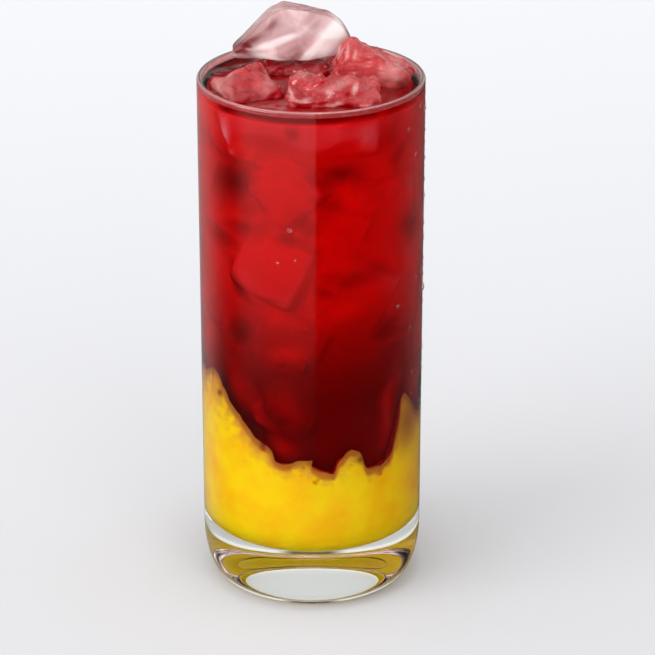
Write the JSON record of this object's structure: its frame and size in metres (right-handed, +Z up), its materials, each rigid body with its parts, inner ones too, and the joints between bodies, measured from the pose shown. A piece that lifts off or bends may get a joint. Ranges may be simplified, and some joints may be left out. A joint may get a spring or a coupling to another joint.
{
  "type": "iced layered drink in a tumbler",
  "caption": "Straight clear tumbler with a thick base, filled to the rim with yellow mango puree below and red fruit drink above, with ice cubes that rise out of the top.",
  "frame": {"origin": "middle of the tumbler's foot, on the table it stands on", "axes": "+Z up along the tumbler's axis, -Y towards the viewer of the reference view, +X to that viewer's right"},
  "size_m": [0.064, 0.064, 0.1698],
  "materials": {
    "glass_tumbler": "clear polished glass",
    "mango_puree": "opaque wet fruit puree",
    "red_drink": "deep red clear liquid",
    "ice_top": "wet clear and cloudy ice, faintly pink",
    "ice_left": "wet clear and cloudy ice, faintly pink",
    "ice_front": "wet clear and cloudy ice, faintly pink",
    "ice_right": "wet clear and cloudy ice, faintly pink",
    "ice_back": "wet clear and cloudy ice, faintly pink"
  },
  "bodies": {
    "root": {"glass_tumbler": "glass_tumbler", "mango_puree": "mango_puree", "red_drink": "red_drink", "ice_top": "ice_top", "ice_left": "ice_left", "ice_front": "ice_front", "ice_right": "ice_right", "ice_back": "ice_back"}
  },
  "joints": []
}
